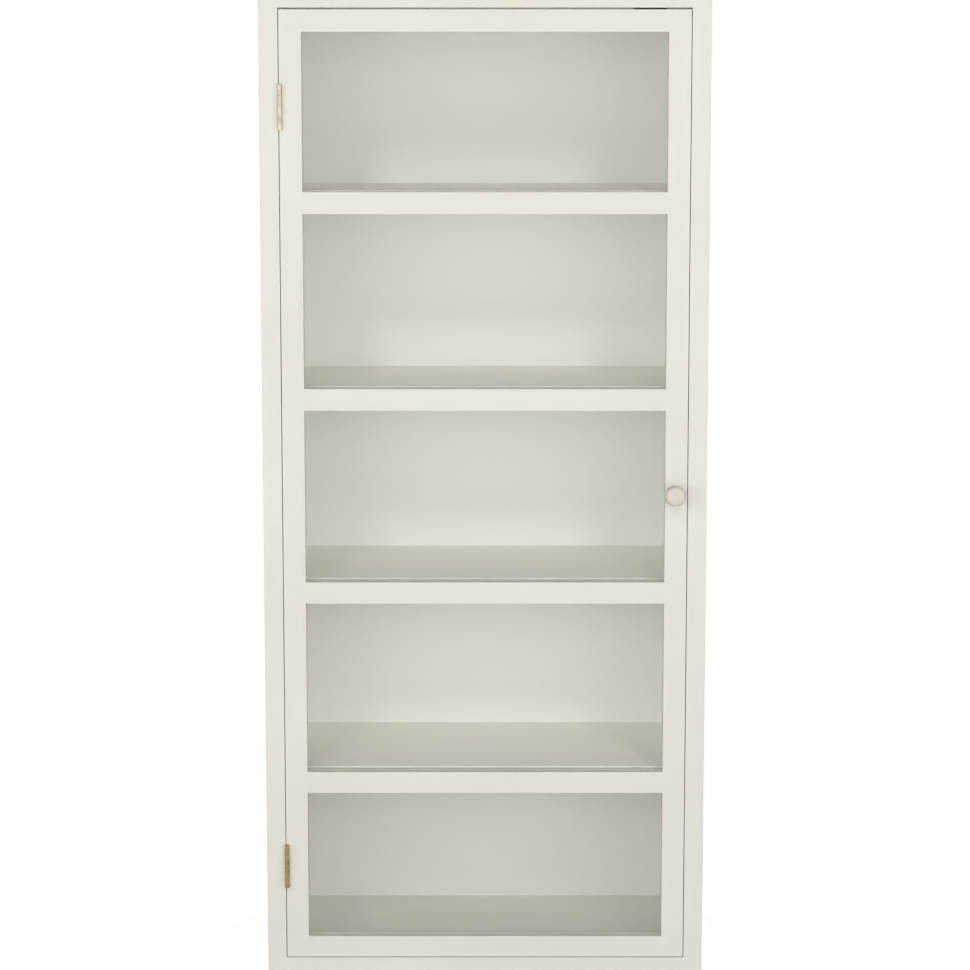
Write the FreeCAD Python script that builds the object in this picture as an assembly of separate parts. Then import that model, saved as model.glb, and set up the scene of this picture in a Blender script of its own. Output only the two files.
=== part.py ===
import FreeCAD, Part
import os

os.makedirs("parts", exist_ok=True)

# Frame: the wall plane is y = 0, the front faces -Y, +X is to the right, +Z is up.
# z = 0 is the height of the two keyholes, x = 0 is halfway between them. Lengths in mm.

# Cabinet outside
width = 400.0
height = 900.0
depth = 205.0

# Boards of the carcass
board = 17.0
board_ease = 0.6
back_thick = 5.0
back_setback = 10.0
back_groove = 5.0
back_edge_play = 0.5
back_face_play = 0.1

# Shelves, let into the sides
shelf_count = 4
shelf_thick = 15.0
shelf_dado = 5.0
shelf_door_gap = 1.5

# Hanging rail and its keyhole plates
rail_tall = 60.0
keyhole_from_side = 33.0
plate_thick = 2.0
plate_half = 10.0
plate_low = 20.0
plate_high = 24.0
key_entry_r = 4.5
key_slot_r = 2.25
key_slot_rise = 9.0
key_pocket_deep = 6.0
key_pocket_side = 1.0
plate_screw_low = 14.5
plate_screw_high = 18.5

# Dowels
corner_dowel_r = 4.0
corner_dowel_long = 30.0
corner_dowel_shares = (0.15, 0.5, 0.85)
corner_dowel_in_side = 11.0
rail_dowel_r = 3.0
rail_dowel_long = 24.0
rail_dowel_in_side = 11.0
rail_dowel_apart = 40.0
dowel_end_play = 1.0
glue_play = 0.05

# Door frame
door_thick = 18.0
door_ease = 0.5
stile_wide = 20.0
end_rail_tall = 19.7
bar_tall = 19.5
bar_below_shelf = 0.8
gap_hinge = 0.6
gap_lock = 0.6
gap_top = 1.5
gap_bottom = 0.6
lock_lead = 0.6
tenon_thick = 6.0
tenon_long = 11.0
tenon_haunch = 4.0
mortise_end_play = 0.5

# Glazing
lip_thick = 8.0
rebate_wide = 5.0
glass_thick = 3.0
glass_edge_play = 1.0
bead_setback = 0.5
pin_r = 0.5
pin_long = 8.5
pin_share = 0.22
pin_set = 0.3

# Butt hinges
hinge_long = 40.0
hinge_from_end = 87.0
knuckle_count = 5
barrel_r = 2.0
barrel_stand = 0.4
hinge_pin_r = 1.0
pin_run_play = 0.03
leaf_thick = 1.4
leaf_space = 0.2
leaf_wide = 11.0
knuckle_end_play = 0.35
knuckle_side_play = 0.4
hinge_mortise_play = 0.1
hinge_screw_share = 0.3

# Countersunk screws: head radius, shank radius and length of each kind
hinge_screw_head = 2.2
hinge_screw_shank = 1.25
hinge_screw_long = 12.0
plate_screw_head = 3.0
plate_screw_shank = 1.5
plate_screw_long = 8.5
strike_screw_head = 2.3
strike_screw_shank = 1.25
strike_screw_long = 11.0
knob_screw_head = 2.8
knob_screw_shank = 1.5
knob_screw_long = 29.0
screw_play = 0.05
screw_tip_play = 0.5
screw_slot_wide = 0.6
screw_slot_deep = 0.6

# Magnetic catch and its strike
catch_from_right = 53.0
catch_long = 29.0
catch_deep = 16.0
catch_tall = 12.0
catch_ease = 0.8
magnet_wide = 14.0
magnet_deep = 11.0
magnet_tall = 4.6
pole_thick = 1.2
pole_proud = 0.6
pole_gap = 0.2
magnet_drop = 7.0
pocket_side_play = 0.2
catch_screw_apart = 21.0
catch_screw_head = 2.8
catch_screw_head_tall = 2.0
catch_screw_shank = 1.45
catch_screw_long = 16.0
catch_bore_deep = 5.0
catch_bore_play = 0.3
strike_wide = 30.0
strike_tall = 10.0
strike_thick = 1.2
strike_drop = 8.0
strike_screw_apart = 21.0
strike_ease = 1.5

# Knob: the head's outline is given in shares of its radius and of its height above the neck
knob_head_r = 9.5
knob_neck_r = 4.5
knob_base_r = 6.2
knob_base_tall = 1.8
knob_flare_tall = 4.0
knob_neck_tall = 9.0
knob_tall = 21.0
knob_inward = 1.8
knob_head_shares = ((0.8, 0.12), (1.0, 0.45), (0.95, 0.76), (0.82, 0.92))

# Cuts run this far past a face
over = 1.0
# Edges closer than this to a given point are the ones meant by it
near = 0.01

# Places that follow from the sizes
inner_top = rail_tall / 2
top = inner_top + board
bottom = top - height
inner_bottom = bottom + board
middle = (top + bottom) / 2
side = width / 2
inner = side - board
front = -depth
back_face = -back_setback - back_thick
door_back = front + door_thick
shelf_front = door_back + shelf_door_gap
shelf_clear = (inner_top - inner_bottom - shelf_count * shelf_thick) / (shelf_count + 1)
shelf_tops = [inner_top - i * shelf_clear - (i - 1) * shelf_thick for i in range(1, shelf_count + 1)]

frame_leaf_face = -inner + leaf_thick
door_leaf_face = frame_leaf_face + leaf_space
hinge_x = (frame_leaf_face + door_leaf_face) / 2
hinge_y = front - barrel_r - barrel_stand
hinge_middles = (inner_top - hinge_from_end, inner_bottom + hinge_from_end)
knuckle_long = hinge_long / knuckle_count
leaf_back = front + leaf_wide

door_left = -inner + gap_hinge
door_right = inner - gap_lock
door_top = inner_top - gap_top
door_bottom = inner_bottom + gap_bottom
sight_left = door_left + stile_wide
sight_right = door_right - stile_wide
lip_back = front + lip_thick
glass_back = lip_back + glass_thick
bead_back = door_back - bead_setback
bars = [(t - bar_below_shelf - bar_tall, t - bar_below_shelf) for t in shelf_tops]
rails = [(door_top - end_rail_tall, door_top)] + bars + [(door_bottom, door_bottom + end_rail_tall)]
panes = [(rails[i + 1][1], rails[i][0]) for i in range(shelf_count + 1)]

catch_x = side - catch_from_right
keyhole_x = inner - keyhole_from_side
strike_back = door_back + strike_thick
pole_front = strike_back + pole_gap
catch_front = pole_front + pole_proud
knob_x = door_right - stile_wide / 2 - knob_inward

X = FreeCAD.Vector(1, 0, 0)
Y = FreeCAD.Vector(0, 1, 0)
Z = FreeCAD.Vector(0, 0, 1)


def point(x, y, z):
    return FreeCAD.Vector(x, y, z)


def box(x0, x1, y0, y1, z0, z1):
    return Part.makeBox(x1 - x0, y1 - y0, z1 - z0, point(x0, y0, z0))


def rod(radius, start, way, length):
    return Part.makeCylinder(radius, length, start, way)


def ease(shape, radius, points):
    marks = [Part.Vertex(p) for p in points]
    edges = [e for e in shape.Edges if any(e.distToShape(m)[0] < near for m in marks)]
    return shape.makeFillet(radius, edges)


def turned(profile, start, way):
    """Solid of a closed profile in the XZ plane turned about Z, then set at start along way."""
    solid = Part.Face(Part.Wire(profile)).revolve(point(0, 0, 0), Z, 360)
    solid.Placement = FreeCAD.Placement(start, FreeCAD.Rotation(Z, way))
    return solid


def outline(points):
    ring = list(points) + [points[0]]
    return Part.makePolygon([point(r, 0, s) for r, s in ring]).Edges


def screw_body(head, shank, length, start, way):
    """Countersunk body: the cone narrows from the head to the shank at 45 degrees, the tip is a cone."""
    taper = head - shank
    points = [(0, 0), (head, 0), (shank, taper), (shank, length - 2 * shank), (0, length)]
    return turned(outline(points), start, way)


def screw(head, shank, length, start, way, across):
    """Countersunk screw with a straight slot lying along the given direction."""
    third = way.cross(across)
    half = across * head + third * (screw_slot_wide / 2)
    low = start - half - way * over
    high = start + half + way * screw_slot_deep
    x0, x1 = sorted((low.x, high.x))
    y0, y1 = sorted((low.y, high.y))
    z0, z1 = sorted((low.z, high.z))
    return screw_body(head, shank, length, start, way).cut(box(x0, x1, y0, y1, z0, z1))


def screw_hole(head, shank, length, start, way):
    body = screw_body(head + screw_play, shank + screw_play, length + screw_tip_play, start, way)
    return body.fuse(rod(head + screw_play, start - way * over, way, over))


def save(name, solids):
    shape = solids[0] if len(solids) == 1 else Part.makeCompound(solids)
    shape.exportStep("parts/" + name + ".step")


# Fasteners: the same places drive the fasteners and the holes they sit in
def corner_dowel_places():
    places = []
    for z in (inner_top + board / 2, inner_bottom - board / 2):
        for share in corner_dowel_shares:
            places.append((-depth * share, z))
    return places


def corner_dowel(sign, y, z, play, end):
    start = point(sign * (inner + corner_dowel_in_side + end), y, z)
    return rod(corner_dowel_r + play, start, X * -sign, corner_dowel_long + 2 * end)


def corner_dowels(play, end):
    return [corner_dowel(s, y, z, play, end) for s in (-1, 1) for y, z in corner_dowel_places()]


def rail_dowel(sign, z, play, end):
    start = point(sign * (inner + rail_dowel_in_side + end), -back_setback / 2, z)
    return rod(rail_dowel_r + play, start, X * -sign, rail_dowel_long + 2 * end)


def rail_dowels(play, end):
    offsets = (-rail_dowel_apart / 2, rail_dowel_apart / 2)
    return [rail_dowel(s, z, play, end) for s in (-1, 1) for z in offsets]


def hinge_screw_spots():
    reach = hinge_long * hinge_screw_share
    y = (front + leaf_back) / 2
    return [(y, m + d) for m in hinge_middles for d in (-reach, reach)]


def frame_screw_starts():
    return [point(frame_leaf_face, y, z) for y, z in hinge_screw_spots()]


def door_screw_starts():
    return [point(door_leaf_face, y, z) for y, z in hinge_screw_spots()]


def frame_screw_holes():
    return [screw_hole(hinge_screw_head, hinge_screw_shank, hinge_screw_long, p, -X)
            for p in frame_screw_starts()]


def door_screw_holes():
    return [screw_hole(hinge_screw_head, hinge_screw_shank, hinge_screw_long, p, X)
            for p in door_screw_starts()]


def leaf_mortises():
    """Seats in the hinge stile that take both leaves of each hinge, open to the front."""
    half = hinge_long / 2 + hinge_mortise_play
    return [box(door_left - over, door_leaf_face + leaf_thick, front - over, leaf_back + hinge_mortise_play,
                z - half, z + half) for z in hinge_middles]


def plate_screw_starts():
    heights = (-plate_screw_low, plate_screw_high)
    return [point(x, 0, z) for x in (-keyhole_x, keyhole_x) for z in heights]


def plate_screw_holes():
    return [screw_hole(plate_screw_head, plate_screw_shank, plate_screw_long, p, -Y)
            for p in plate_screw_starts()]


def strike_screw_starts():
    reach = strike_screw_apart / 2
    return [point(catch_x + d, strike_back, inner_top - strike_drop) for d in (-reach, reach)]


def strike_screw_holes():
    return [screw_hole(strike_screw_head, strike_screw_shank, strike_screw_long, p, -Y)
            for p in strike_screw_starts()]


def knob_screw_start():
    return point(knob_x, door_back, middle)


def knob_screw_hole():
    return screw_hole(knob_screw_head, knob_screw_shank, knob_screw_long, knob_screw_start(), -Y)


def catch_screw_spots():
    reach = catch_screw_apart / 2
    return [(catch_x + d, catch_front + catch_deep / 2) for d in (-reach, reach)]


def catch_screw(x, y, play, end):
    seat = inner_top - catch_tall + catch_bore_deep
    shank = rod(catch_screw_shank + play, point(x, y, seat), Z, catch_screw_long + end)
    base = point(x, y, seat - catch_screw_head_tall)
    return shank.fuse(rod(catch_screw_head, base, Z, catch_screw_head_tall))


def catch_screw_bore(x, y):
    bore = rod(catch_screw_head + catch_bore_play, point(x, y, inner_top - catch_tall - over), Z,
               catch_bore_deep + over)
    return bore.fuse(catch_screw(x, y, screw_play, screw_tip_play))


# Carcass boards
def side_panel(sign):
    x0, x1 = sorted((sign * inner, sign * side))
    panel = box(x0, x1, front, 0, bottom, top)
    marks = [point(sign * side, front, middle), point(sign * side, front / 2, top)]
    marks += [point(sign * side, front / 2, bottom), point(sign * side, 0, middle)]
    panel = ease(panel, board_ease, marks)
    g0, g1 = sorted((sign * (inner - over), sign * (inner + back_groove)))
    cuts = [box(g0, g1, back_face - back_face_play, -back_setback + back_face_play,
                inner_bottom - back_groove, inner_top + back_groove)]
    d0, d1 = sorted((sign * (inner - over), sign * (inner + shelf_dado)))
    for t in shelf_tops:
        cuts.append(box(d0, d1, shelf_front, back_face, t - shelf_thick, t))
    cuts += corner_dowels(glue_play, dowel_end_play) + rail_dowels(glue_play, dowel_end_play)
    if sign < 0:
        cuts += frame_screw_holes()
    return panel.cut(cuts)


def end_panel(z0, z1, face, outside):
    """Top or bottom board: grooved for the back panel in its inner face, eased at its outer front edge."""
    panel = ease(box(-inner, inner, front, 0, z0, z1), board_ease, [point(0, front, outside)])
    way = 1 if outside > face else -1
    g0, g1 = sorted((face - way * over, face + way * back_groove))
    groove = box(-inner - over, inner + over, back_face - back_face_play, -back_setback + back_face_play,
                 g0, g1)
    return panel.cut([groove] + corner_dowels(glue_play, dowel_end_play))


def top_panel():
    holes = [catch_screw(x, y, screw_play, screw_tip_play) for x, y in catch_screw_spots()]
    return end_panel(inner_top, top, inner_top, top).cut(holes)


def bottom_panel():
    return end_panel(bottom, inner_bottom, inner_bottom, bottom)


def back_panel():
    reach = back_groove - back_edge_play
    return box(-inner - reach, inner + reach, back_face, -back_setback,
               inner_bottom - reach, inner_top + reach)


def shelf(t):
    reach = inner + shelf_dado
    return box(-reach, reach, shelf_front, back_face, t - shelf_thick, t)


# Hanging rail and keyhole plates
def upright(x, half, low, high, y0, y1):
    """Upright plate with half-round ends between two heights."""
    plate = box(x - half, x + half, y0, y1, low + half, high - half)
    for z in (low + half, high - half):
        plate = plate.fuse(rod(half, point(x, y0, z), Y, y1 - y0))
    return plate.removeSplitter()


def keyhole_plate(x):
    plate = upright(x, plate_half, -plate_low, plate_high, -plate_thick, 0)
    entry = rod(key_entry_r, point(x, -plate_thick - over, 0), Y, plate_thick + 2 * over)
    slot = upright(x, key_slot_r, -key_slot_r, key_slot_rise + key_slot_r, -plate_thick - over, over)
    return plate.cut([entry, slot] + plate_screw_holes())


def hanging_rail():
    rail = box(-inner, inner, -back_setback, 0, inner_top - rail_tall, inner_top)
    cuts = plate_screw_holes() + rail_dowels(glue_play, dowel_end_play)
    wide = key_entry_r + key_pocket_side
    for x in (-keyhole_x, keyhole_x):
        cuts.append(upright(x, plate_half + glue_play, -plate_low - glue_play, plate_high + glue_play,
                            -plate_thick, over))
        cuts.append(upright(x, wide, -wide, key_slot_rise + wide, -plate_thick - key_pocket_deep, over))
    return rail.cut(cuts)


# Butt hinges: odd knuckles belong to the frame leaf, even ones to the door leaf
def knuckle_span(z, i):
    low = z - hinge_long / 2 + i * knuckle_long
    return low, low + knuckle_long


def hinge_leaf(z, x0, x1, first, holes):
    leaf = box(x0, x1, hinge_y, leaf_back, z - hinge_long / 2, z + hinge_long / 2)
    for i in range(knuckle_count):
        low, high = knuckle_span(z, i)
        if i % 2 == first:
            low, high = low + knuckle_end_play / 2, high - knuckle_end_play / 2
            leaf = leaf.fuse(rod(barrel_r, point(hinge_x, hinge_y, low), Z, high - low))
        else:
            room = barrel_r + knuckle_side_play
            end = knuckle_end_play / 2
            leaf = leaf.cut(rod(room, point(hinge_x, hinge_y, low - end), Z, high - low + 2 * end))
    bore = rod(hinge_pin_r + pin_run_play, point(hinge_x, hinge_y, z - hinge_long), Z, 2 * hinge_long)
    return leaf.cut([bore] + holes).removeSplitter()


def frame_leaf(z):
    return hinge_leaf(z, frame_leaf_face - leaf_thick, frame_leaf_face, 0, frame_screw_holes())


def door_leaf(z):
    return hinge_leaf(z, door_leaf_face, door_leaf_face + leaf_thick, 1, door_screw_holes())


def hinge_pin(z):
    return rod(hinge_pin_r, point(hinge_x, hinge_y, z - hinge_long / 2), Z, hinge_long)


# Door frame
def tenon_span(i):
    """Height range of the tenon of rail i, counted from the top rail."""
    low, high = rails[i]
    low = low + (tenon_haunch if i == len(rails) - 1 else rebate_wide)
    high = high - (tenon_haunch if i == 0 else rebate_wide)
    return low, high


def web_span(i):
    """Height range of the rail behind the glass rebates."""
    low, high = rails[i]
    return low + (0 if i == len(rails) - 1 else rebate_wide), high - (0 if i == 0 else rebate_wide)


def tenon(i, end):
    low, high = tenon_span(i)
    return box(sight_left - tenon_long - end, sight_right + tenon_long + end,
               lip_back, lip_back + tenon_thick, low, high)


def door_rail(i):
    low, high = rails[i]
    lip = box(sight_left, sight_right, front, lip_back, low, high)
    outer = {0: high, len(rails) - 1: low}
    if i in outer:
        lip = ease(lip, door_ease, [point(0, front, outer[i])])
    low, high = web_span(i)
    web = box(sight_left - rebate_wide, sight_right + rebate_wide, lip_back, door_back, low, high)
    rail = lip.fuse([web, tenon(i, 0)]).removeSplitter()
    cuts = bead_pin_holes()
    return rail.cut(cuts + (strike_screw_holes() if i == 0 else []))


def stile(outer, sight):
    x0, x1 = sorted((outer, sight))
    body = box(x0, x1, front, door_back, door_bottom, door_top)
    marks = [point(outer, front, middle), point((x0 + x1) / 2, front, door_top)]
    body = ease(body, door_ease, marks + [point((x0 + x1) / 2, front, door_bottom)])
    way = 1 if sight > outer else -1
    r0, r1 = sorted((sight - way * rebate_wide, sight + way * over))
    cuts = [box(r0, r1, lip_back, door_back + over, door_bottom - over, door_top + over)]
    cuts += [tenon(i, mortise_end_play) for i in range(len(rails))]
    return body.cut(cuts + bead_pin_holes())


def hinge_stile():
    return stile(door_left, sight_left).cut(leaf_mortises() + door_screw_holes())


def lead_wedge():
    """Cut off the lock stile's outer edge so that its back corner clears the side as the door opens."""
    start, low = front + door_ease, door_bottom - over
    slant_end = door_right - lock_lead
    corners = [(door_right, start), (slant_end, door_back), (slant_end, door_back + over)]
    corners += [(door_right + over, door_back + over), (door_right + over, start), corners[0]]
    face = Part.Face(Part.makePolygon([point(x, y, low) for x, y in corners]))
    return face.extrude(Z * (door_top - door_bottom + 2 * over))


def lock_stile():
    return stile(door_right, sight_right).cut([lead_wedge(), knob_screw_hole()])


# Glazing
def glass_pane(i):
    low, high = panes[i]
    reach = rebate_wide - glass_edge_play
    return box(sight_left - reach, sight_right + reach, lip_back, glass_back, low - reach, high + reach)


def glazing_beads(i):
    """Two upright strips and two level ones between them, in the rebate behind the glass."""
    low, high = panes[i]
    under, above = low - rebate_wide, high + rebate_wide
    strips = [box(sight_left - rebate_wide, sight_left, glass_back, bead_back, under, above),
              box(sight_right, sight_right + rebate_wide, glass_back, bead_back, under, above),
              box(sight_left, sight_right, glass_back, bead_back, under, low),
              box(sight_left, sight_right, glass_back, bead_back, high, above)]
    holes = bead_pin_holes()
    return [s.cut(holes) for s in strips]


def pin_places():
    """Two places on each bead strip, mid-thickness of the bead, each with the way into the frame."""
    places = []
    y = (glass_back + bead_back) / 2
    for low, high in panes:
        for share in (pin_share, 1 - pin_share):
            z = low + (high - low) * share
            x = sight_left + (sight_right - sight_left) * share
            places += [(point(sight_left, y, z), -X), (point(sight_right, y, z), X)]
            places += [(point(x, y, low), -Z), (point(x, y, high), Z)]
    return places


def bead_pins():
    return [rod(pin_r, p + d * pin_set, d, pin_long) for p, d in pin_places()]


def bead_pin_holes():
    return [rod(pin_r + screw_play, p, d, pin_set + pin_long + screw_tip_play) for p, d in pin_places()]


# Catch, strike and knob
def catch_case():
    x0, x1 = catch_x - catch_long / 2, catch_x + catch_long / 2
    low = inner_top - catch_tall
    case = box(x0, x1, catch_front, catch_front + catch_deep, low, inner_top)
    marks = [point(catch_x, y, low) for y in (catch_front, catch_front + catch_deep)]
    case = ease(case, catch_ease, marks + [point(x, catch_front + catch_deep / 2, low) for x in (x0, x1)])
    half = magnet_wide / 2 + pocket_side_play
    reach = magnet_tall / 2 + pole_thick
    middle_z = inner_top - magnet_drop
    pocket = box(catch_x - half, catch_x + half, catch_front - over, catch_front + magnet_deep,
                 middle_z - reach, middle_z + reach)
    return case.cut([pocket] + [catch_screw_bore(x, y) for x, y in catch_screw_spots()])


def catch_magnet():
    z = inner_top - magnet_drop
    return box(catch_x - magnet_wide / 2, catch_x + magnet_wide / 2, catch_front, catch_front + magnet_deep,
               z - magnet_tall / 2, z + magnet_tall / 2)


def catch_poles():
    z = inner_top - magnet_drop
    x0, x1 = catch_x - magnet_wide / 2, catch_x + magnet_wide / 2
    reach = magnet_tall / 2
    spans = ((z - reach - pole_thick, z - reach), (z + reach, z + reach + pole_thick))
    return [box(x0, x1, pole_front, catch_front + magnet_deep, low, high) for low, high in spans]


def catch_screws():
    cross = screw_slot_wide / 2
    base = inner_top - catch_tall + catch_bore_deep - catch_screw_head_tall
    screws = []
    for x, y in catch_screw_spots():
        bits = [box(x - a, x + a, y - b, y + b, base - over, base + screw_slot_deep)
                for a, b in ((cross, catch_screw_shank), (catch_screw_shank, cross))]
        screws.append(catch_screw(x, y, 0, 0).cut(bits))
    return screws


def strike_plate():
    z = inner_top - strike_drop
    x0, x1 = catch_x - strike_wide / 2, catch_x + strike_wide / 2
    z0, z1 = z - strike_tall / 2, z + strike_tall / 2
    plate = box(x0, x1, door_back, strike_back, z0, z1)
    marks = [point(x, (door_back + strike_back) / 2, e) for x in (x0, x1) for e in (z0, z1)]
    return ease(plate, strike_ease, marks).cut(strike_screw_holes())


def knob_head_outline():
    rise = knob_tall - knob_neck_tall
    return [(knob_head_r * r, knob_neck_tall + rise * s) for r, s in knob_head_shares]


def knob():
    """Turned knob: foot, waisted neck and a round head whose face is part of a sphere."""
    foot = [(0, knob_tall), (0, 0), (knob_base_r, 0), (knob_base_r, knob_base_tall)]
    foot += [(knob_neck_r, knob_flare_tall), (knob_neck_r, knob_neck_tall)]
    head = [foot[-1]] + knob_head_outline()
    swell = Part.BSplineCurve()
    swell.interpolate([point(r, 0, s) for r, s in head])
    edge_r, edge_s = head[-1]
    sag = knob_tall - edge_s
    ball = (edge_r * edge_r + sag * sag) / (2 * sag)
    half_s = knob_tall - ball + (ball * ball - edge_r * edge_r / 4) ** 0.5
    face = Part.Arc(point(edge_r, 0, edge_s), point(edge_r / 2, 0, half_s), point(0, 0, knob_tall))
    lines = Part.makePolygon([point(r, 0, s) for r, s in foot]).Edges
    profile = lines + [swell.toShape(), face.toShape()]
    return turned(profile, point(knob_x, front, middle), -Y).cut(knob_screw_hole())


# Build and save every piece
save("left_side_panel", [side_panel(-1)])
save("right_side_panel", [side_panel(1)])
save("top_panel", [top_panel()])
save("bottom_panel", [bottom_panel()])
save("back_panel", [back_panel()])
for number, t in enumerate(shelf_tops, 1):
    save("shelf_%d" % number, [shelf(t)])
save("corner_dowels", corner_dowels(0, 0))
save("hanging_rail", [hanging_rail()])
save("rail_dowels", rail_dowels(0, 0))
save("keyhole_plate_left", [keyhole_plate(-keyhole_x)])
save("keyhole_plate_right", [keyhole_plate(keyhole_x)])
save("keyhole_screws", [screw(plate_screw_head, plate_screw_shank, plate_screw_long, p, -Y, X)
                        for p in plate_screw_starts()])

for name, z in zip(("top", "bottom"), hinge_middles):
    save(name + "_hinge_frame_leaf", [frame_leaf(z)])
    save(name + "_hinge_door_leaf", [door_leaf(z)])
    save(name + "_hinge_pin", [hinge_pin(z)])
save("hinge_frame_screws", [screw(hinge_screw_head, hinge_screw_shank, hinge_screw_long, p, -X, Y)
                            for p in frame_screw_starts()])
save("hinge_door_screws", [screw(hinge_screw_head, hinge_screw_shank, hinge_screw_long, p, X, Y)
                           for p in door_screw_starts()])

save("door_hinge_stile", [hinge_stile()])
save("door_lock_stile", [lock_stile()])
save("door_top_rail", [door_rail(0)])
for number in range(1, shelf_count + 1):
    save("door_bar_%d" % number, [door_rail(number)])
save("door_bottom_rail", [door_rail(len(rails) - 1)])
for number in range(shelf_count + 1):
    save("glass_pane_%d" % (number + 1), [glass_pane(number)])
    save("glazing_beads_%d" % (number + 1), glazing_beads(number))
save("bead_pins", bead_pins())

save("catch_case", [catch_case()])
save("catch_magnet", [catch_magnet()])
save("catch_poles", catch_poles())
save("catch_screws", catch_screws())
save("strike_plate", [strike_plate()])
save("strike_screws", [screw(strike_screw_head, strike_screw_shank, strike_screw_long, p, -Y, Z)
                       for p in strike_screw_starts()])
save("knob", [knob()])
save("knob_screw", [screw(knob_screw_head, knob_screw_shank, knob_screw_long, knob_screw_start(), -Y, Z)])
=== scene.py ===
import math
import bpy
import numpy as np
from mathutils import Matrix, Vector


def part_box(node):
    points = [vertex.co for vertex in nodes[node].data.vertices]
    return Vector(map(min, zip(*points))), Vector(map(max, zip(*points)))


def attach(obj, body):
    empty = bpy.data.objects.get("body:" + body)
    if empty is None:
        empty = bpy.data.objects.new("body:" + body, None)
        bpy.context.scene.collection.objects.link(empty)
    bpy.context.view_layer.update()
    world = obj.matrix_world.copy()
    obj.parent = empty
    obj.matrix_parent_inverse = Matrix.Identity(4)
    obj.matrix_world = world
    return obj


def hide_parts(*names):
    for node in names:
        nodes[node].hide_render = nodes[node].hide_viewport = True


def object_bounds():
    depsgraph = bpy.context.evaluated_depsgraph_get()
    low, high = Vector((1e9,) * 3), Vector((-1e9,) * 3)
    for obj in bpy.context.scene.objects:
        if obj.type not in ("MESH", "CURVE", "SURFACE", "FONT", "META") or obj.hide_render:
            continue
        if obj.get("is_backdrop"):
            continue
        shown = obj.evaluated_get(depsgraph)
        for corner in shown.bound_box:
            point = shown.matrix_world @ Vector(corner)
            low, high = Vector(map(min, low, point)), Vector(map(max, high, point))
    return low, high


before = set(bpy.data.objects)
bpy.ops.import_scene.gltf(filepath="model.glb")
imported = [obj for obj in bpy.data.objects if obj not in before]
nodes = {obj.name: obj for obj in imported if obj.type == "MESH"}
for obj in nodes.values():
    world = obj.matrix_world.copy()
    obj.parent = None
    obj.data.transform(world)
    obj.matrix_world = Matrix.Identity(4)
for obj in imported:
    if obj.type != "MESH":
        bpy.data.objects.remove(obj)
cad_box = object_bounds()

X, Y, Z = range(3)


# Colours, on a 0 to 255 scale

CREAM_PAINT = (225, 223, 214)
CREAM_PAINT_DEEP = (222, 219, 208)
# The shelves and the back board are the same cream paint as the rest; their colours are lighter here as
# painted light, standing in for light inside the cabinet.
SHELF_PAINT_WITH_PAINTED_LIGHT = (239, 238, 230)
SHELF_PAINT_DEEP_WITH_PAINTED_LIGHT = (236, 234, 225)
BACK_PAINT_WITH_PAINTED_LIGHT = (240, 240, 235)
BACK_PAINT_DEEP_WITH_PAINTED_LIGHT = (238, 238, 232)
KNOB_CREAM = (214, 209, 195)
KNOB_CREAM_DEEP = (209, 202, 187)
# Both hinges are one brass: the top hinge's is given paler, a painted highlight for the bright light it
# catches; the bottom hinge and all hinge screws take the darker brass.
TOP_HINGE_BRASS_PAINTED_PALE = (203, 193, 176)
TOP_HINGE_BRASS_PAINTED_PALE_DULL = (178, 160, 132)
DARKER_BRASS = (171, 149, 105)
DARKER_BRASS_DULL = (134, 113, 74)
STEEL_BRIGHT = (188, 190, 192)
STEEL_DULL = (142, 145, 150)
PINE_PALE = (214, 188, 146)
PINE_DARK = (178, 142, 96)
CATCH_BLACK = (40, 39, 36)
CATCH_BLACK_WORN = (58, 56, 52)
FERRITE_GREY = (62, 60, 60)
FERRITE_DARK = (44, 43, 44)
GLASS_GREEN = (254, 255, 254)
WHITE = (255, 255, 255)


def light_of(colour):
    """The linear light of a colour given on a 0 to 255 scale, with full cover."""
    share = np.array(colour) / 255
    linear = np.where(share <= 0.04045, share / 12.92, ((share + 0.055) / 1.055) ** 2.4)
    return (*linear.tolist(), 1.0)


def grey_of(level):
    """A grey of the given linear light, with full cover."""
    return (level, level, level, 1.0)


# Node helpers

def add(tree, kind, inputs=None, **settings):
    """One shader node; each input takes a number, a colour or another node's output."""
    node = tree.nodes.new("ShaderNode" + kind)
    for name, value in settings.items():
        setattr(node, name, value)
    for name, value in (inputs or {}).items():
        join(tree, value, node.inputs[name])
    return node


def join(tree, value, socket):
    """Links another node's output to the socket, or sets the number or colour there."""
    if isinstance(value, bpy.types.NodeSocket):
        tree.links.new(value, socket)
    else:
        socket.default_value = value


def feed(tree, surface, **sockets):
    """Joins outputs and numbers to the surface shader's sockets, named here with underscores."""
    for name, value in sockets.items():
        join(tree, value, surface.inputs[name.replace("_", " ").title()])


def new_finish(name):
    """A new material with its node tree and its surface shader."""
    material = bpy.data.materials.new(name)
    material.use_nodes = True
    return material, material.node_tree, material.node_tree.nodes["Principled BSDF"]


def own_place(tree, stretch=(1.0, 1.0, 1.0)):
    """Points of the piece in metres, stretched along each axis."""
    place = add(tree, "TexCoord").outputs["Object"]
    return add(tree, "Mapping", {"Vector": place, "Scale": stretch}).outputs["Vector"]


def noise(tree, place, scale=1.0, detail=2.0, roughness=0.5):
    """Soft random cells, about 1/scale metres wide, as a value around one half."""
    inputs = {"Vector": place, "Scale": scale, "Detail": detail, "Roughness": roughness}
    return add(tree, "TexNoise", inputs).outputs["Fac"]


def spread(tree, value, low, high, start=0.3, end=0.7):
    """The value, carried from start..end onto low..high."""
    inputs = {"Value": value, "From Min": start, "From Max": end, "To Min": low, "To Max": high}
    return add(tree, "MapRange", inputs).outputs["Result"]


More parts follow.
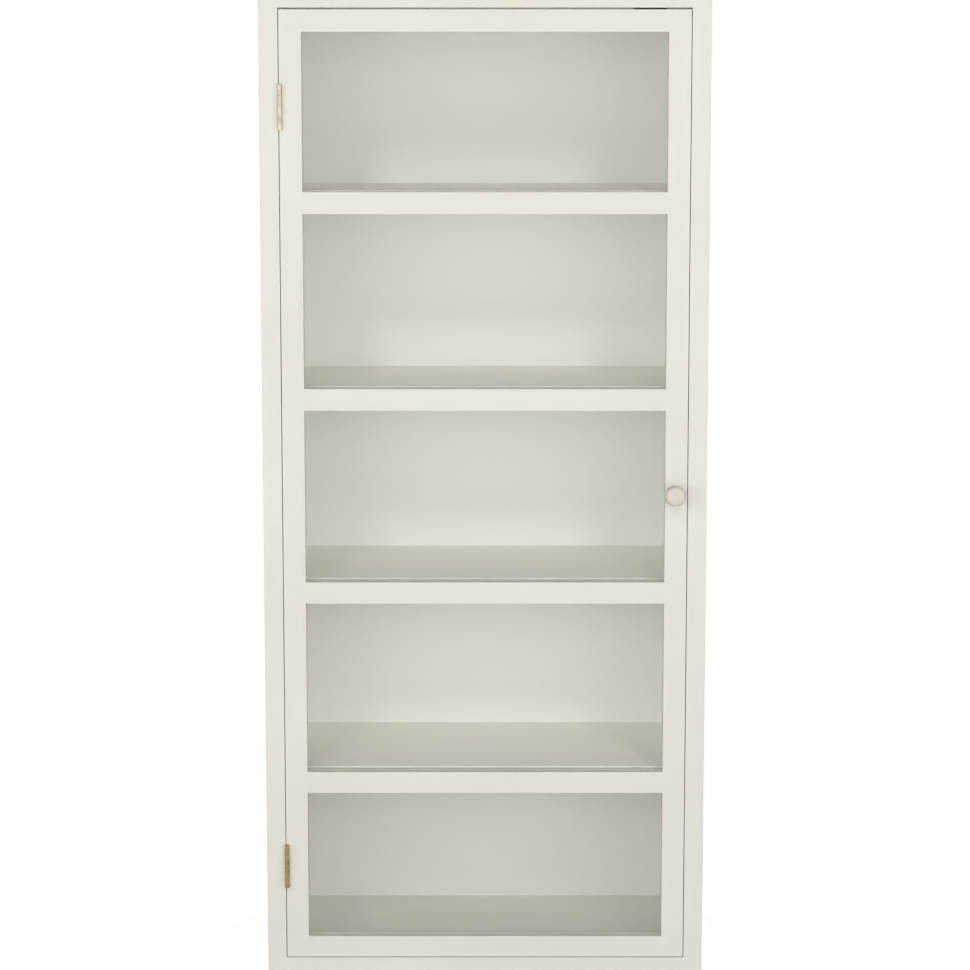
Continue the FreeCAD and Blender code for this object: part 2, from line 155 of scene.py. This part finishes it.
def two_tone(tree, value, first, second, start=0.3, end=0.7):
    """A colour that passes from the first to the second as the value goes from start to end."""
    ramp = add(tree, "ValToRGB", {"Fac": value})
    for stop, place, colour in zip(ramp.color_ramp.elements, (start, end), (first, second)):
        stop.position = place
        stop.color = light_of(colour)
    return ramp.outputs["Color"]


def bump(tree, height, relief):
    """A surface normal from a height between 0 and 1 that stands for the relief in metres."""
    inputs = {"Height": height, "Distance": relief, "Strength": 1.0}
    return add(tree, "Bump", inputs).outputs["Normal"]


# Finishes. Lengths and reliefs are in metres, clouds, cells and grains count per metre,
# and each roughness runs from the glossiest spots to the dullest.

STREAK_WIDTH = 0.0011
STREAK_LENGTH = 0.11
STREAK_RELIEF = 0.00009
PAINT_CLOUDS = 9.0
PAINT_ROUGHNESS = (0.40, 0.52)
PEEL_CELLS = 420.0
PEEL_RELIEF = 0.00006
BACK_CLOUDS = 6.0
BACK_ROUGHNESS = (0.46, 0.56)
KNOB_RINGS = (150.0, 1500.0, 150.0)
KNOB_RELIEF = 0.00004
KNOB_CLOUDS = 120.0
KNOB_ROUGHNESS = (0.34, 0.46)
LACQUER_WEIGHT = 0.25
LACQUER_ROUGHNESS = 0.25
PINE_GRAIN_ACROSS = 190.0
PINE_GRAIN_ALONG = 5.0
PINE_RELIEF = 0.00012
PINE_STOPS = (0.35, 0.72)
PINE_ROUGHNESS = (0.62, 0.78)
SCRATCHES = (2600.0, 2600.0, 160.0)
SCRATCH_RELIEF = 0.00002
METAL_CLOUDS = 160.0
TOP_HINGE_BRASS_ROUGHNESS = (0.48, 0.62)
DARKER_BRASS_ROUGHNESS = (0.26, 0.46)
STEEL_ROUGHNESS = (0.28, 0.45)
SPARK_RELIEF = 0.00005
MOULDED_CLOUDS = 90.0
PLASTIC_GRAIN = 1400.0
PLASTIC_ROUGHNESS = (0.42, 0.58)
FERRITE_GRAIN = 700.0
FERRITE_ROUGHNESS = (0.5, 0.7)
GLASS_REFRACTION = 1.5


def brushed_paint(name, along, pale=CREAM_PAINT, deep=CREAM_PAINT_DEEP):
    """Satin paint put on with a brush: hair streaks run along the board and the coat clouds a little."""
    material, tree, coat = new_finish(name)
    stretch = [1 / STREAK_WIDTH] * 3
    stretch[along] = 1 / STREAK_LENGTH
    streaks = noise(tree, own_place(tree, stretch), detail=3.0, roughness=0.6)
    clouds = noise(tree, own_place(tree), PAINT_CLOUDS, detail=3.0)
    feed(tree, coat,
         base_color=two_tone(tree, clouds, pale, deep),
         roughness=spread(tree, streaks, *PAINT_ROUGHNESS),
         normal=bump(tree, streaks, STREAK_RELIEF))
    return material


def sprayed_paint(name):
    """A thin even coat on a smooth board, with a fine orange peel and faint clouds; its colour is lighter
    than the cream paint, as painted light inside the cabinet.
    """
    material, tree, coat = new_finish(name)
    place = own_place(tree)
    peel = noise(tree, place, PEEL_CELLS)
    clouds = noise(tree, place, BACK_CLOUDS, detail=3.0)
    feed(tree, coat,
         base_color=two_tone(tree, clouds, BACK_PAINT_WITH_PAINTED_LIGHT, BACK_PAINT_DEEP_WITH_PAINTED_LIGHT),
         roughness=spread(tree, peel, *BACK_ROUGHNESS),
         normal=bump(tree, peel, PEEL_RELIEF))
    return material


def lacquered_knob(name):
    """Turned wood under cream lacquer: faint turning rings and a soft gloss."""
    material, tree, coat = new_finish(name)
    clouds = noise(tree, own_place(tree), KNOB_CLOUDS, detail=3.0)
    rings = noise(tree, own_place(tree, KNOB_RINGS))
    feed(tree, coat,
         base_color=two_tone(tree, clouds, KNOB_CREAM, KNOB_CREAM_DEEP),
         roughness=spread(tree, rings, *KNOB_ROUGHNESS),
         normal=bump(tree, rings, KNOB_RELIEF),
         coat_weight=LACQUER_WEIGHT,
         coat_roughness=LACQUER_ROUGHNESS)
    return material


def bare_pine(name, along):
    """Unpainted pine: pale and dark grain bands drawn out along the board."""
    material, tree, wood = new_finish(name)
    stretch = [PINE_GRAIN_ACROSS] * 3
    stretch[along] = PINE_GRAIN_ALONG
    grain = noise(tree, own_place(tree, stretch), detail=5.0, roughness=0.62)
    feed(tree, wood,
         base_color=two_tone(tree, grain, PINE_PALE, PINE_DARK, *PINE_STOPS),
         roughness=spread(tree, grain, *PINE_ROUGHNESS),
         normal=bump(tree, grain, PINE_RELIEF))
    return material


def worn_metal(name, bright, dull, roughness):
    """Metal with fine scratches and dull clouds where hands and air have been at it."""
    material, tree, metal = new_finish(name)
    clouds = noise(tree, own_place(tree), METAL_CLOUDS, detail=4.0, roughness=0.6)
    scratches = noise(tree, own_place(tree, SCRATCHES))
    feed(tree, metal,
         base_color=two_tone(tree, clouds, bright, dull),
         metallic=1.0,
         roughness=spread(tree, clouds, *roughness),
         normal=bump(tree, scratches, SCRATCH_RELIEF))
    return material


def moulded_black(name, first, second, grain_cells, roughness):
    """A dark moulded or pressed body with a fine spark grain and faint clouds."""
    material, tree, shell = new_finish(name)
    place = own_place(tree)
    grain = noise(tree, place, grain_cells)
    clouds = noise(tree, place, MOULDED_CLOUDS, detail=3.0)
    feed(tree, shell,
         base_color=two_tone(tree, clouds, first, second),
         roughness=spread(tree, grain, *roughness),
         normal=bump(tree, grain, SPARK_RELIEF))
    return material


def clear_glass(name):
    """Float glass with a breath of green; shadows and scattered light go straight through it."""
    material, tree, pane = new_finish(name)
    feed(tree, pane, base_color=light_of(GLASS_GREEN), roughness=0.0, transmission_weight=1.0)
    pane.inputs["IOR"].default_value = GLASS_REFRACTION
    path = add(tree, "LightPath").outputs
    open_air = add(tree, "BsdfTransparent", {"Color": light_of(GLASS_GREEN)}).outputs["BSDF"]
    scattered = add(tree, "MixShader", {0: path["Is Diffuse Ray"], 1: pane.outputs["BSDF"], 2: open_air})
    shadowed = add(tree, "MixShader", {0: path["Is Shadow Ray"], 1: scattered.outputs[0], 2: open_air})
    tree.links.new(shadowed.outputs[0], tree.nodes["Material Output"].inputs["Surface"])
    return material


def dress(names, finish):
    """Gives the finish to every material slot of the named pieces."""
    for name in names:
        for slot in nodes[name].material_slots:
            slot.material = finish


SHELVES = [f"shelf_{n}" for n in range(1, 5)]
BARS = [f"door_bar_{n}" for n in range(1, 5)]
BEADS = [f"glazing_beads_{n}" for n in range(1, 6)]
PANES = [f"glass_pane_{n}" for n in range(1, 6)]
HINGE_PARTS = ("frame_leaf", "door_leaf", "pin")

dress(["left_side_panel", "right_side_panel", "door_hinge_stile", "door_lock_stile"],
      brushed_paint("paint_along_uprights", Z))
dress(["top_panel", "bottom_panel", "door_top_rail", "door_bottom_rail", "bead_pins", *BARS, *BEADS],
      brushed_paint("paint_along_rails", X))
# The shelves take the cream paint lightened as painted light.
dress(SHELVES, brushed_paint("paint_along_shelves_painted_lighter", X, SHELF_PAINT_WITH_PAINTED_LIGHT, SHELF_PAINT_DEEP_WITH_PAINTED_LIGHT))
dress(["back_panel"], sprayed_paint("back_board_paint_painted_lighter"))
dress(["hanging_rail", "corner_dowels", "rail_dowels"], bare_pine("bare_pine", X))
# The top hinge gets the paler brass, a painted highlight; the bottom hinge and the screws get the darker
# brass.
dress([f"top_hinge_{part}" for part in HINGE_PARTS],
      worn_metal("top_hinge_brass_painted_pale", TOP_HINGE_BRASS_PAINTED_PALE, TOP_HINGE_BRASS_PAINTED_PALE_DULL, TOP_HINGE_BRASS_ROUGHNESS))
dress([f"bottom_hinge_{part}" for part in HINGE_PARTS] + ["hinge_frame_screws", "hinge_door_screws"],
      worn_metal("darker_brass", DARKER_BRASS, DARKER_BRASS_DULL, DARKER_BRASS_ROUGHNESS))
dress(["keyhole_plate_left", "keyhole_plate_right", "keyhole_screws", "catch_poles", "catch_screws",
       "strike_plate", "strike_screws", "knob_screw"],
      worn_metal("zinc_plate", STEEL_BRIGHT, STEEL_DULL, STEEL_ROUGHNESS))
dress(["catch_case"],
      moulded_black("black_plastic", CATCH_BLACK, CATCH_BLACK_WORN, PLASTIC_GRAIN, PLASTIC_ROUGHNESS))
dress(["catch_magnet"],
      moulded_black("sintered_ferrite", FERRITE_GREY, FERRITE_DARK, FERRITE_GRAIN, FERRITE_ROUGHNESS))
dress(PANES, clear_glass("clear_glass"))


# Shapes

def smooth_line(points, steps):
    """A line through the points, cut into steps between each two.

    Between two points runs the cubic whose slope at each end is half the way from the point before
    that end to the point after it; past the first and last points the line is carried straight on.
    """
    given = np.array(points, float)
    line = np.vstack([2 * given[0] - given[1], given, 2 * given[-1] - given[-2]])
    before, start, end, after = (line[i:len(line) - 3 + i, None] for i in range(4))
    t = np.linspace(0.0, 1.0, steps, endpoint=False)[:, None]
    bend = 2 * before - 5 * start + 4 * end - after
    twist = 3 * (start - end) + after - before
    cubic = start + 0.5 * t * (end - before + t * (bend + t * twist))
    return np.vstack([cubic.reshape(-1, given.shape[1]), given[-1:]])


def turned(radii, heights, sides):
    """Points and faces of a shape turned about +Z.

    Each radius goes round at its height: x is the radius times the cosine of the angle, y the radius
    times its sine. A pole at the middle of the first and of the last ring closes the ends.
    """
    angle = np.arange(sides) * 2 * math.pi / sides
    x, y = np.outer(radii, np.cos(angle)), np.outer(radii, np.sin(angle))
    z = np.repeat(heights[:, None], sides, axis=1)
    poles = np.array([[0.0, 0.0, heights[0]], [0.0, 0.0, heights[-1]]])
    points = np.vstack([np.stack([x, y, z], axis=-1).reshape(-1, 3), poles])
    ring = np.arange(sides)
    after = (ring + 1) % sides
    rows = np.arange(len(radii) - 1)[:, None] * sides
    corners = [rows + ring, rows + after, rows + after + sides, rows + ring + sides]
    wall = np.stack(corners, axis=-1).reshape(-1, 4)
    last = (len(radii) - 1) * sides
    foot = np.stack([np.full(sides, len(points) - 2), after, ring], axis=-1)
    crown = np.stack([np.full(sides, len(points) - 1), last + ring, last + after], axis=-1)
    return points, wall.tolist() + foot.tolist() + crown.tolist()


def new_piece(name, points, faces, finish, body, slot, *stands_for):
    """A smooth mesh piece that rides on a body and stands for the named pieces of the frame."""
    mesh = bpy.data.meshes.new(name)
    mesh.from_pydata(points.tolist(), [], faces)
    mesh.polygons.foreach_set("use_smooth", np.ones(len(mesh.polygons), bool))
    mesh.materials.append(finish)
    piece = bpy.data.objects.new(name, mesh)
    bpy.context.scene.collection.objects.link(piece)
    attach(piece, body)
    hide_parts(*stands_for)


# The knob's outline from the stile outwards: shares of its head's radius and of its height
KNOB_SHARES = ((0.62, 0.0), (0.652, 0.02), (0.652, 0.062), (0.6, 0.095), (0.5, 0.17), (0.474, 0.29),
               (0.5, 0.4), (0.66, 0.47), (0.88, 0.55), (0.98, 0.635), (1.0, 0.71), (0.987, 0.785),
               (0.943, 0.85), (0.875, 0.9), (0.79, 0.935), (0.7, 0.957), (0.5, 0.981), (0.25, 0.995),
               (0.04, 1.0))
KNOB_STEPS = 6
KNOB_SIDES = 96


def turned_knob():
    """The round knob: its outline turned about the axis that stands out of the lock stile."""
    low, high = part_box("knob")
    radius, tall = (high.x - low.x) / 2, high.y - low.y
    outline = smooth_line(KNOB_SHARES, KNOB_STEPS)
    points, faces = turned(outline[:, 0] * radius, outline[:, 1] * tall, KNOB_SIDES)
    along, across, out = points.T
    centre = (low + high) / 2
    points = np.stack([centre.x + along, high.y - out, centre.z + across], axis=-1)
    new_piece("turned_knob", points, faces, lacquered_knob("cream_lacquer"), "door", "cream_wood", "knob")


turned_knob()


# Stage: a pale floor under the cabinet in a pale room, both white to the eye

FLOOR_REACH = 40.0
FLOOR_DROP = 0.0006
FLOOR_GLOW = 0.50
FLOOR_SHADE = 0.95
FLOOR_BOUNCE = 0.75
FLOOR_FADE = (0.5, 2.0)
AMBIENT = 0.04


def seen_rays(tree):
    """One for rays that show the background to the eye: straight, mirrored or through glass."""
    path = add(tree, "LightPath").outputs
    mirrored = add(tree, "Math", {0: path["Is Camera Ray"], 1: path["Is Glossy Ray"]}, operation="MAXIMUM")
    both = {0: mirrored.outputs[0], 1: path["Is Transmission Ray"]}
    return add(tree, "Math", both, operation="MAXIMUM").outputs[0]


def floor_paint():
    """A matt floor with a glow that makes it white where lamps reach it; far off it is plain white."""
    material = bpy.data.materials.new("pale_floor")
    material.use_nodes = True
    tree = material.node_tree
    tree.nodes.remove(tree.nodes["Principled BSDF"])
    flat = own_place(tree, (1.0, 1.0, 0.0))
    away = add(tree, "VectorMath", {0: flat}, operation="LENGTH").outputs["Value"]
    far = spread(tree, away, 0.0, 1.0, *FLOOR_FADE)
    shade = add(tree, "BsdfDiffuse", {"Color": grey_of(FLOOR_SHADE)}).outputs["BSDF"]
    glow = add(tree, "Emission", {"Color": light_of(WHITE), "Strength": FLOOR_GLOW}).outputs["Emission"]
    near = add(tree, "AddShader", {0: shade, 1: glow}).outputs[0]
    white = add(tree, "Emission", {"Color": light_of(WHITE), "Strength": 1.0}).outputs["Emission"]
    seen = add(tree, "MixShader", {0: far, 1: near, 2: white}).outputs[0]
    bounce = add(tree, "BsdfDiffuse", {"Color": grey_of(FLOOR_BOUNCE)}).outputs["BSDF"]
    mix = add(tree, "MixShader", {0: seen_rays(tree), 1: bounce, 2: seen}).outputs[0]
    tree.links.new(mix, tree.nodes["Material Output"].inputs["Surface"])
    return material


def pale_floor():
    """A flat square of floor just below the cabinet, which takes its shadow."""
    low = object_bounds()[0].z - FLOOR_DROP
    side = np.array([-FLOOR_REACH, FLOOR_REACH])
    x, y = np.meshgrid(side, side)
    corners = np.stack([x, y, np.full_like(x, low)], axis=-1).reshape(-1, 3)
    mesh = bpy.data.meshes.new("floor")
    mesh.from_pydata(corners.tolist(), [], [(0, 1, 3, 2)])
    mesh.materials.append(floor_paint())
    floor = bpy.data.objects.new("floor", mesh)
    bpy.context.scene.collection.objects.link(floor)
    floor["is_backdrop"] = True


def pale_room():
    """White all round for the eye, and a low even light for everything else."""
    world = bpy.data.worlds.new("pale_room")
    bpy.context.scene.world = world
    world.use_nodes = True
    tree = world.node_tree
    tree.nodes.remove(tree.nodes["Background"])
    dim = add(tree, "Background", {"Color": light_of(WHITE), "Strength": AMBIENT}).outputs[0]
    white = add(tree, "Background", {"Color": light_of(WHITE), "Strength": 1.0}).outputs[0]
    mix = add(tree, "MixShader", {0: seen_rays(tree), 1: dim, 2: white}).outputs[0]
    tree.links.new(mix, tree.nodes["World Output"].inputs["Surface"])


# Light: a broad lamp in front, and on each side a broad one far round, a smaller low one, a small raised
# one and a broad one behind, all facing a point below the cabinet's middle.
# Each lamp: degrees aside, degrees up, metres away, metres across, watts

FRONT_LAMP = (0.0, 7.0, 2.6, 1.6, 14.6)
SIDE_LAMPS = {"broad": (48.0, 11.0, 2.5, 1.2, 11.8),
              "low": (25.0, 6.0, 2.6, 0.8, 6.2),
              "raised": (20.0, 35.5, 4.0, 0.5, 17.5),
              "rear": (135.0, 28.0, 3.0, 1.6, 24.0)}
AIM_DROP = 0.15


def soft_lamp(name, aim, aside, rise, away, across, power, mirrored=True):
    """A square lamp that faces the aim, turned aside from straight in front and raised, both by angles."""
    lamp = bpy.data.lights.new(name, "AREA")
    lamp.shape = "SQUARE"
    lamp.size = across
    lamp.energy = power
    turn, lift = math.radians(aside), math.radians(rise)
    level = math.cos(lift)
    towards = Vector((math.sin(turn) * level, -math.cos(turn) * level, math.sin(lift)))
    post = bpy.data.objects.new(name, lamp)
    post.location = aim + towards * away
    post.rotation_mode = "QUATERNION"
    post.rotation_quaternion = towards.to_track_quat("Z", "Y")
    post.visible_glossy = mirrored
    post.visible_transmission = mirrored
    bpy.context.scene.collection.objects.link(post)


def studio_light():
    """The front lamp, kept out of mirrored rays so the panes stay clear, and the pairs of side lamps."""
    aim = (cad_box[0] + cad_box[1]) / 2 - Vector((0.0, 0.0, AIM_DROP))
    soft_lamp("front_lamp", aim, *FRONT_LAMP, mirrored=False)
    for kind, (aside, *rest) in SIDE_LAMPS.items():
        soft_lamp(f"left_{kind}_lamp", aim, -aside, *rest)
        soft_lamp(f"right_{kind}_lamp", aim, aside, *rest)


# Camera: in front, near the height of the top board, looking a little down

EYE_AWAY = 2.4
EYE_HEIGHT = -0.030
AIM_HEIGHT = -0.351
LENS = 99.95
SENSOR = 36.0
RISE_OF_FRAME = -0.05


def eye():
    """The camera on the cabinet's middle plane."""
    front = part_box("right_side_panel")[0].y
    lens = bpy.data.cameras.new("eye")
    lens.lens = LENS
    lens.sensor_width = SENSOR
    lens.shift_y = RISE_OF_FRAME
    camera = bpy.data.objects.new("eye", lens)
    camera.location = (0.0, front - EYE_AWAY, EYE_HEIGHT)
    towards = Vector((0.0, front, AIM_HEIGHT)) - camera.location
    camera.rotation_mode = "QUATERNION"
    camera.rotation_quaternion = towards.to_track_quat("-Z", "Y")
    bpy.context.scene.collection.objects.link(camera)
    bpy.context.scene.camera = camera


pale_floor()
pale_room()
studio_light()
eye()
bpy.context.scene.view_settings.view_transform = "Standard"
